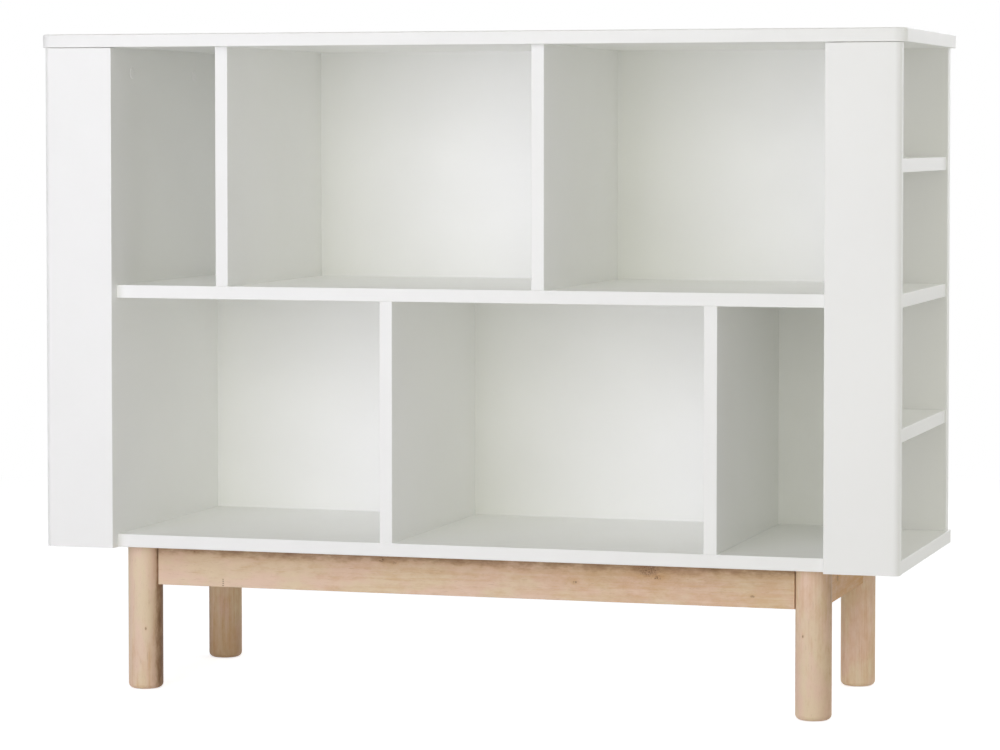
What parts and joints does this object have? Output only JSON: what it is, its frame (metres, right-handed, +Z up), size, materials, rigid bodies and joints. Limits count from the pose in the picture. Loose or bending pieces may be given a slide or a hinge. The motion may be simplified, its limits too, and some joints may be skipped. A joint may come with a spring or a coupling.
{
  "type": "bookcase",
  "caption": "Low white bookcase with staggered open bays in an upper and a lower row, open niches in both ends and a light wooden frame on round legs.",
  "frame": {"origin": "on the floor, in the middle of the width and of the depth", "axes": "+X to the right along the width seen from the front, +Y from the front to the back, +Z up"},
  "size_m": [1.2, 0.4, 0.904],
  "materials": {
    "white_lacquer": "satin white lacquer over fibreboard",
    "white_back": "satin white painted hardboard",
    "light_wood": "clear matt lacquer over light hardwood with small knots",
    "dowel_wood": "bare beech",
    "zinc": "die-cast zinc, satin",
    "plated_steel": "zinc-plated steel",
    "white_plastic": "moulded white polythene, satin",
    "felt": "pressed felt"
  },
  "bodies": {
    "root": {"back_panel": "white_back", "back_screws": "plated_steel", "board_dowels": "dowel_wood", "board_screws": "plated_steel", "bottom_board": "white_lacquer", "cam_bolts": "plated_steel", "cam_caps": "white_plastic", "cam_locks": "zinc", "frame_dowels": "dowel_wood", "frame_screws": "plated_steel", "front_left_leg": "light_wood", "front_rail": "light_wood", "front_right_leg": "light_wood", "left_end_wall": "white_lacquer", "left_front_panel": "white_lacquer", "left_niche_shelf_1": "white_lacquer", "left_niche_shelf_2": "white_lacquer", "left_niche_shelf_3": "white_lacquer", "left_rail": "light_wood", "left_rear_panel": "white_lacquer", "leg_glides": "felt", "lower_left_divider": "white_lacquer", "lower_right_divider": "white_lacquer", "middle_shelf": "white_lacquer", "rear_left_leg": "light_wood", "rear_rail": "light_wood", "rear_right_leg": "light_wood", "right_end_wall": "white_lacquer", "right_front_panel": "white_lacquer", "right_niche_shelf_1": "white_lacquer", "right_niche_shelf_2": "white_lacquer", "right_niche_shelf_3": "white_lacquer", "right_rail": "light_wood", "right_rear_panel": "white_lacquer", "top_board": "white_lacquer", "upper_left_divider": "white_lacquer", "upper_right_divider": "white_lacquer"}
  },
  "joints": []
}
